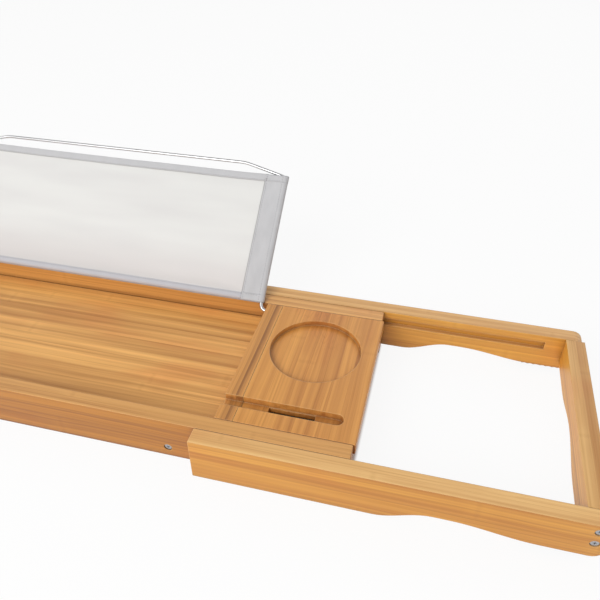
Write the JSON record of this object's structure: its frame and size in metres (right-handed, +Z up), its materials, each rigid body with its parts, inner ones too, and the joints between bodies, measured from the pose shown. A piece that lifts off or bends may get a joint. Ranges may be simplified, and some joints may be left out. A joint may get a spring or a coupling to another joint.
{
  "type": "bath caddy",
  "caption": "Bamboo bath caddy with sliding U-shaped arms, a sunken tray, a round recess, a phone slot and a folding wire book rack with a cloth cover.",
  "frame": {"origin": "middle of the tray's underside, on the underside of the centre cross brace", "axes": "+X along the tray to the end with the round recess, +Y away from the bather towards the book rack, +Z up"},
  "size_m": [1.09, 0.3106, 0.1482],
  "materials": {
    "bamboo": "satin varnished bamboo",
    "bamboo_dark": "satin varnished bamboo, a darker strip",
    "chrome": "polished",
    "steel": "plain",
    "rubber": "matte",
    "cover_cloth": "coated cloth",
    "window_film": "cloudy film"
  },
  "bodies": {
    "tray": {"centre_floor_brace": "bamboo", "floor_board": "bamboo", "front_rail": "bamboo", "front_rail_guide_pin_left_inner": "steel", "front_rail_guide_pin_left_outer": "steel", "front_rail_guide_pin_right_inner": "steel", "front_rail_guide_pin_right_outer": "steel", "front_rail_screw_centre_floor_brace": "steel", "front_rail_screw_left_deck_brace": "steel", "front_rail_screw_left_divider": "steel", "front_rail_screw_left_floor_brace": "steel", "front_rail_screw_right_deck_brace": "steel", "front_rail_screw_right_divider": "steel", "front_rail_screw_right_floor_brace": "steel", "left_deck": "bamboo", "left_deck_brace": "bamboo", "left_deck_cleat": "bamboo", "left_divider": "bamboo_dark", "left_floor_brace": "bamboo", "rear_rail": "bamboo", "rear_rail_guide_pin_left_inner": "steel", "rear_rail_guide_pin_left_outer": "steel", "rear_rail_guide_pin_right_inner": "steel", "rear_rail_guide_pin_right_outer": "steel", "rear_rail_screw_centre_floor_brace": "steel", "rear_rail_screw_left_deck_brace": "steel", "rear_rail_screw_left_divider": "steel", "rear_rail_screw_left_floor_brace": "steel", "rear_rail_screw_right_deck_brace": "steel", "rear_rail_screw_right_divider": "steel", "rear_rail_screw_right_floor_brace": "steel", "right_deck": "bamboo", "right_deck_brace": "bamboo", "right_deck_cleat": "bamboo", "right_divider": "bamboo_dark", "right_floor_brace": "bamboo"},
    "right_arm": {"right_arm_end_bar": "bamboo", "right_arm_front_bar": "bamboo", "right_arm_front_pad": "rubber", "right_arm_front_screw_1": "steel", "right_arm_front_screw_2": "steel", "right_arm_rear_bar": "bamboo", "right_arm_rear_pad": "rubber", "right_arm_rear_screw_1": "steel", "right_arm_rear_screw_2": "steel"},
    "left_arm": {"left_arm_end_bar": "bamboo", "left_arm_front_bar": "bamboo", "left_arm_front_pad": "rubber", "left_arm_front_screw_1": "steel", "left_arm_front_screw_2": "steel", "left_arm_rear_bar": "bamboo", "left_arm_rear_pad": "rubber", "left_arm_rear_screw_1": "steel", "left_arm_rear_screw_2": "steel"},
    "rack": {"rack_cover": "cover_cloth", "rack_lower_bar": "chrome", "rack_window": "window_film", "rack_wire": "chrome"}
  },
  "joints": [
    {"name": "right_arm_slide", "type": "slide", "parent": "tray", "child": "right_arm", "axis": [1, 0, 0], "range_m": [-0.17, 0]},
    {"name": "left_arm_slide", "type": "slide", "parent": "tray", "child": "left_arm", "axis": [-1, 0, 0], "range_m": [-0.17, 0]},
    {"name": "rack_hinge", "type": "hinge", "parent": "tray", "child": "rack", "pos_m": [0.021, 0.0745, 0.0405], "axis": [1, 0, 0], "range_deg": [0, 136.7]}
  ]
}
